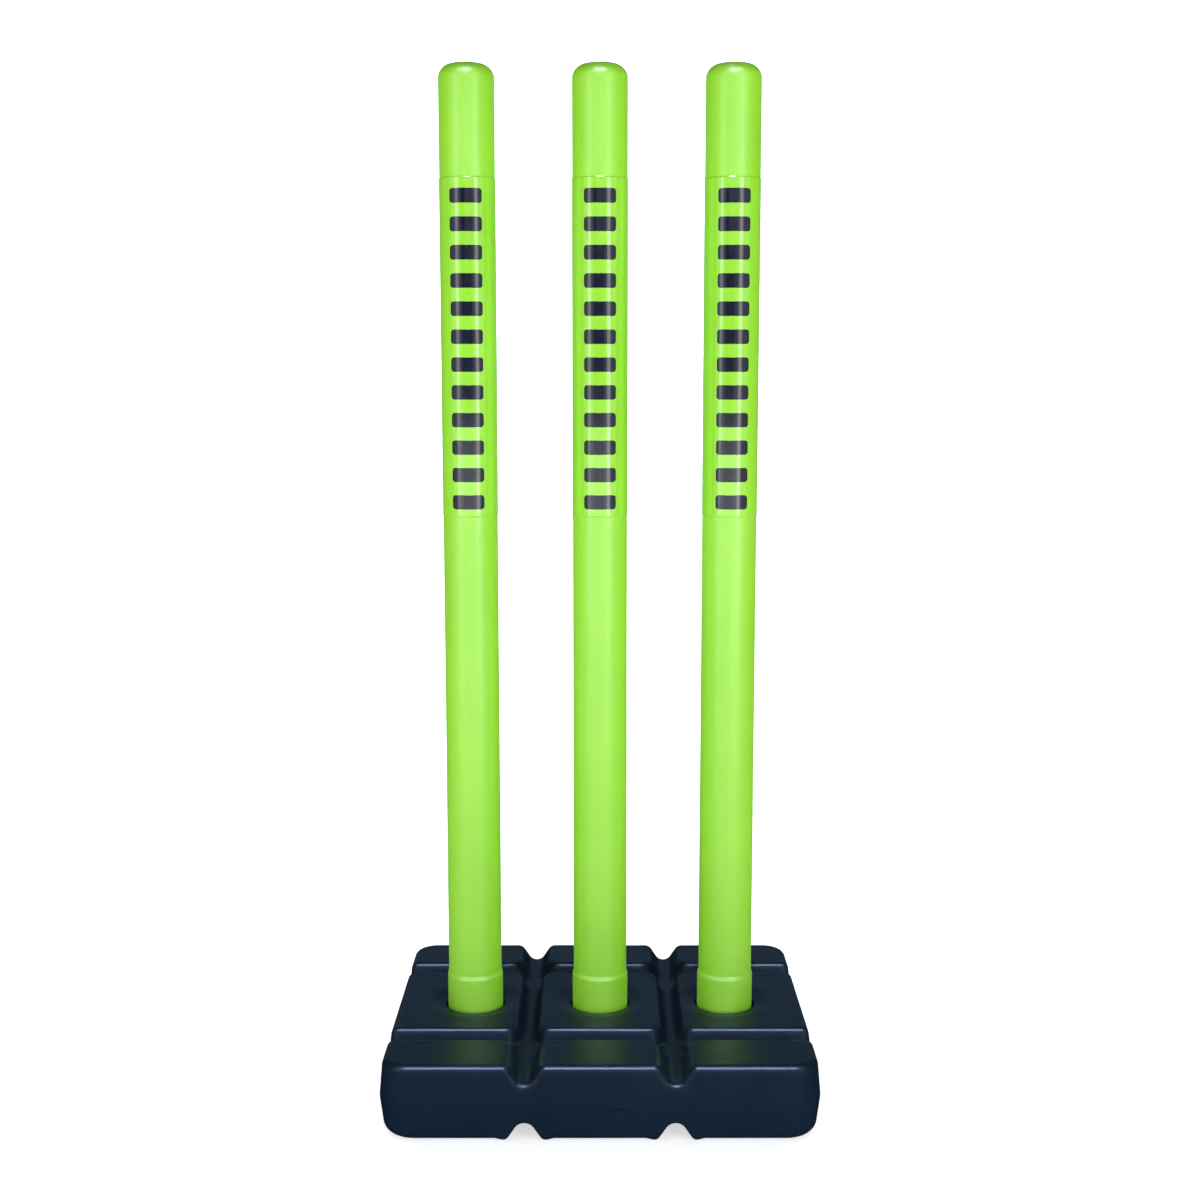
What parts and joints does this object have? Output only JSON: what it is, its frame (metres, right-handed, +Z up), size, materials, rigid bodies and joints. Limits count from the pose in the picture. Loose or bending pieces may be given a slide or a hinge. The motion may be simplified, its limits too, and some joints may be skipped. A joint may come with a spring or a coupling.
{
  "type": "cricket stumps",
  "caption": "Free-standing cricket stumps: upright round moulded stumps standing loose in the sockets of a low, heavy base whose top is parted into square pillows.",
  "frame": {"origin": "middle of the base's underside, on the ground", "axes": "+X to the right along the row of stumps, -Y towards the front, where the filler bung is, +Z up along the stumps"},
  "size_m": [0.295, 0.242, 0.711],
  "materials": {
    "base_plastic": "satin navy-black polyethylene with a fine moulded grain",
    "stump_plastic": "satin fluorescent green polyethylene",
    "label_film": "clear glossy film, bare",
    "sand": "loose dry sand"
  },
  "bodies": {
    "base": {"base_shell": "base_plastic", "ballast": "sand", "filler_bung": "base_plastic"},
    "stump_left": {"stump_left": "stump_plastic", "label_left": "label_film"},
    "stump_middle": {"stump_middle": "stump_plastic", "label_middle": "label_film"},
    "stump_right": {"stump_right": "stump_plastic", "label_right": "label_film"}
  },
  "joints": [
    {"name": "lift_left", "type": "slide", "parent": "base", "child": "stump_left", "axis": [0, 0, 1], "range_m": [0, 0.05]},
    {"name": "lift_middle", "type": "slide", "parent": "base", "child": "stump_middle", "axis": [0, 0, 1], "range_m": [0, 0.05]},
    {"name": "lift_right", "type": "slide", "parent": "base", "child": "stump_right", "axis": [0, 0, 1], "range_m": [0, 0.05]}
  ]
}
